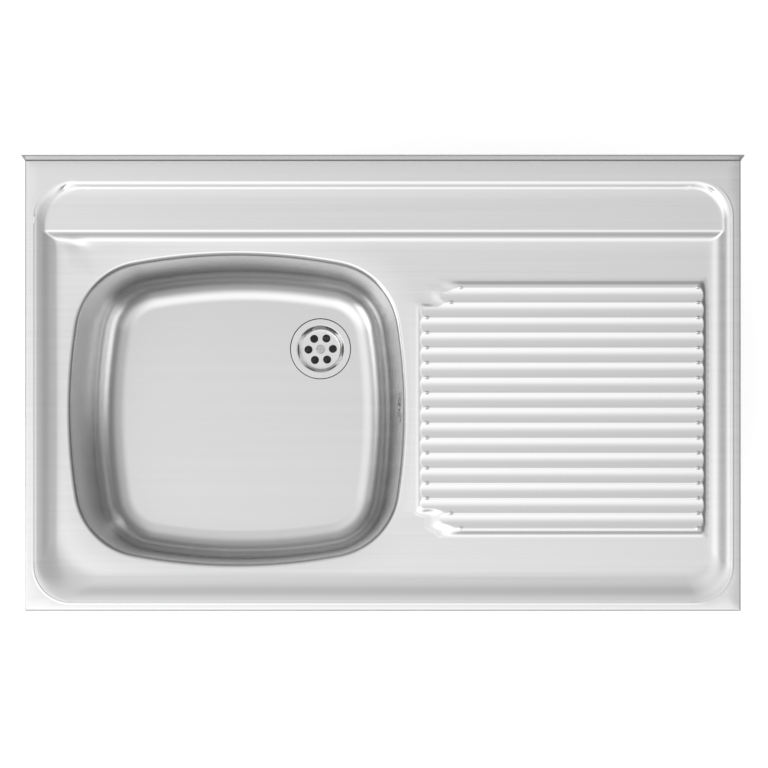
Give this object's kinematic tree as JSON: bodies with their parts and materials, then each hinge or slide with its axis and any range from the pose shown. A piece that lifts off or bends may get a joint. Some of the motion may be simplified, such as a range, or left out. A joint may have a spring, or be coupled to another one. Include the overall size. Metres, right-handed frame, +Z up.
{
  "type": "kitchen sink with drainboard",
  "caption": "Lay-on stainless kitchen sink with one bowl on the left, a fluted drainboard on the right, a rear upstand, and its strainer waste, overflow and fixing rails.",
  "frame": {"origin": "mid-width of the rear rail's underside, in the plane of the cabinet's top edges", "axes": "+X to the right, +Y back to the wall, +Z up"},
  "size_m": [0.8, 0.5057, 0.2738],
  "materials": {
    "satin_steel": "brushed along X, satin",
    "satin_bowl": "satin, deep-drawn",
    "polished_steel": "bright, pressed",
    "screw_steel": "bright, turned",
    "zinc_steel": "galvanised, spangled",
    "rivet_steel": "zinc-plated",
    "brass": "turned",
    "white_plastic": "moulded",
    "hose_plastic": "moulded, ribbed",
    "seal_rubber": "moulded",
    "damping_pad": "bitumen felt"
  },
  "bodies": {
    "root": {"sink_top": "satin_steel", "bowl": "satin_bowl", "bowl_sound_pad": "damping_pad", "drainboard_sound_pads": "damping_pad", "front_rail": "zinc_steel", "rear_rail": "zinc_steel", "drainboard_rail": "zinc_steel", "bracket_rivets": "rivet_steel", "strainer_cup": "polished_steel", "strainer_screw": "screw_steel", "flange_seal": "seal_rubber", "waste_gasket": "seal_rubber", "waste_body": "white_plastic", "insert_nut": "brass", "overflow_rosette": "polished_steel", "overflow_screw": "screw_steel", "overflow_gasket": "seal_rubber", "overflow_elbow": "white_plastic", "overflow_hose": "hose_plastic", "upper_hose_nut": "white_plastic", "lower_hose_nut": "white_plastic", "upper_hose_seal": "seal_rubber", "lower_hose_seal": "seal_rubber", "front_left_bracket": "zinc_steel", "front_right_bracket": "zinc_steel", "rear_left_bracket": "zinc_steel", "rear_right_bracket": "zinc_steel"}
  },
  "joints": []
}
